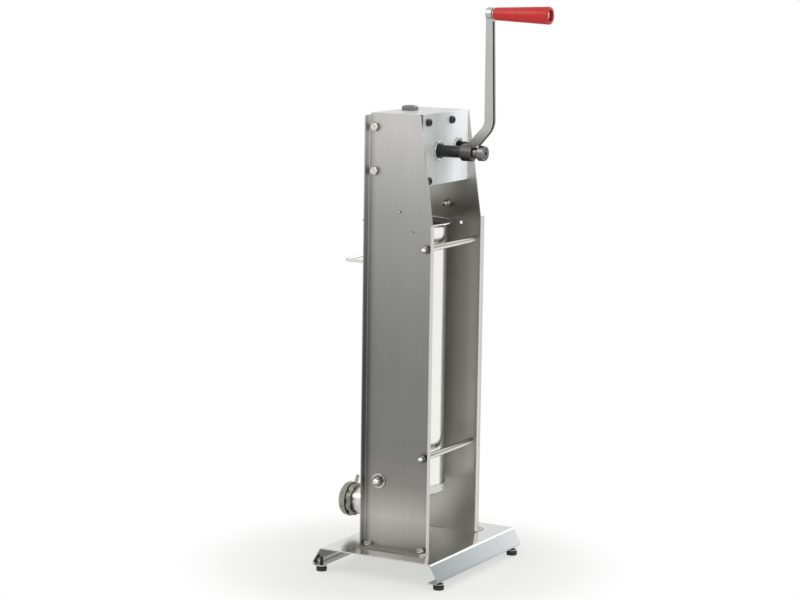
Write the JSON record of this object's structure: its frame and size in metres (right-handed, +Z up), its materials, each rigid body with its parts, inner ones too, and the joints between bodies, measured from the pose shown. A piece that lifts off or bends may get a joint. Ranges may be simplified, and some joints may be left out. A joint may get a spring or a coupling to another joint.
{
  "type": "sausage stuffer",
  "caption": "Vertical hand-cranked sausage stuffer: steel cylinder between side panels, rack-driven piston, geared crank with red grip, front outlet with ring nut.",
  "frame": {"origin": "centre of the whole machine's bounding box in X and Y, on the floor under the feet", "axes": "+Z up; the outlet points to -Y and the crank shafts to +Y; +X is the side of the panel nearest the camera in the picture"},
  "size_m": [0.312, 0.4114, 0.9843],
  "materials": {
    "brushed_steel": "vertical brushed stainless sheet",
    "polished_steel": "bright polished stainless",
    "cast_alloy": "smooth cast, satin",
    "chrome": "plated casting",
    "cast_iron": "cast and lightly ground",
    "bush_metal": "turned bearing metal",
    "grey_paint": "pale grey powder coat, semi-gloss",
    "black_plastic": "black, satin",
    "black_rubber": "moulded black rubber",
    "white_silicone": "white food-grade silicone",
    "red_plastic": "moulded red, glossy"
  },
  "bodies": {
    "frame": {"base_plate": "polished_steel", "cover_screw_lower_right": "black_plastic", "cover_screw_side_left": "black_plastic", "cover_screw_upper_left": "black_plastic", "cover_screw_upper_right": "black_plastic", "cross_rod_lower": "polished_steel", "cross_rod_upper": "polished_steel", "cylinder": "polished_steel", "cylinder_carrier": "cast_alloy", "cylinder_gasket": "white_silicone", "cylinder_handle": "polished_steel", "cylinder_stop_left": "polished_steel", "cylinder_stop_right": "polished_steel", "foot_bolt_front_left": "polished_steel", "foot_bolt_front_right": "polished_steel", "foot_bolt_rear_left": "polished_steel", "foot_bolt_rear_right": "polished_steel", "foot_front_left": "black_rubber", "foot_front_right": "black_rubber", "foot_rear_left": "black_rubber", "foot_rear_right": "black_rubber", "gearbox_cover": "grey_paint", "gearbox_housing": "grey_paint", "gearbox_screw_lower_left": "polished_steel", "gearbox_screw_lower_right": "polished_steel", "gearbox_screw_upper_left": "polished_steel", "gearbox_screw_upper_right": "polished_steel", "main_bush_front": "bush_metal", "main_bush_rear": "bush_metal", "pivot_bolt_left": "polished_steel", "pivot_bolt_right": "polished_steel", "pivot_nut_left": "polished_steel", "pivot_nut_right": "polished_steel", "pivot_washer_left": "polished_steel", "pivot_washer_right": "polished_steel", "rod_nut_lower_left": "polished_steel", "rod_nut_lower_right": "polished_steel", "rod_nut_upper_left": "polished_steel", "rod_nut_upper_right": "polished_steel", "second_bush_front": "bush_metal", "second_bush_rear": "bush_metal", "side_panel_left": "brushed_steel", "side_panel_right": "brushed_steel"},
    "piston_set": {"rack": "polished_steel", "rack_cap": "cast_iron", "piston_lower_plate": "cast_alloy", "piston_seal": "white_silicone", "piston_upper_plate": "cast_alloy", "piston_bolt": "polished_steel"},
    "crank_set": {"main_shaft": "polished_steel", "large_gear": "cast_iron", "crank_sleeve": "black_plastic", "crank_arm": "cast_iron", "crank_knob": "chrome", "grip_axle": "polished_steel"},
    "slow_shaft": {"second_shaft": "cast_iron"},
    "spinning_grip": {"grip": "red_plastic"},
    "outlet_nut": {"ring_nut": "chrome"},
    "vent": {"air_valve": "polished_steel"}
  },
  "joints": [
    {"name": "piston_travel", "type": "slide", "parent": "frame", "child": "piston_set", "axis": [0, 0, 1], "range_m": [0, 0.48]},
    {"name": "crank_turn", "type": "hinge", "parent": "frame", "child": "crank_set", "pos_m": [0.02205, 0.04735, 0.734], "axis": [0, 1, 0], "range_deg": [0, 1692.4]},
    {"name": "slow_shaft_turn", "type": "hinge", "parent": "frame", "child": "slow_shaft", "pos_m": [-0.04786, -0.05365, 0.7375], "axis": [0, 1, 0], "range_deg": [-4231.1, 0]},
    {"name": "grip_spin", "type": "hinge", "parent": "crank_set", "child": "spinning_grip", "pos_m": [0.02205, 0.15395, 0.9693], "axis": [0, 1, 0], "continuous": true},
    {"name": "ring_nut_turn", "type": "hinge", "parent": "frame", "child": "outlet_nut", "pos_m": [0, -0.19365, 0.0982], "axis": [0, 1, 0], "continuous": true},
    {"name": "vent_lift", "type": "slide", "parent": "piston_set", "child": "vent", "axis": [0, 0, 1], "range_m": [0, 0.003]}
  ],
  "couplings": [
    {"joint": "crank_turn", "follows": "piston_travel", "rad_per_m": 61.538},
    {"joint": "slow_shaft_turn", "follows": "piston_travel", "rad_per_m": -153.85}
  ]
}
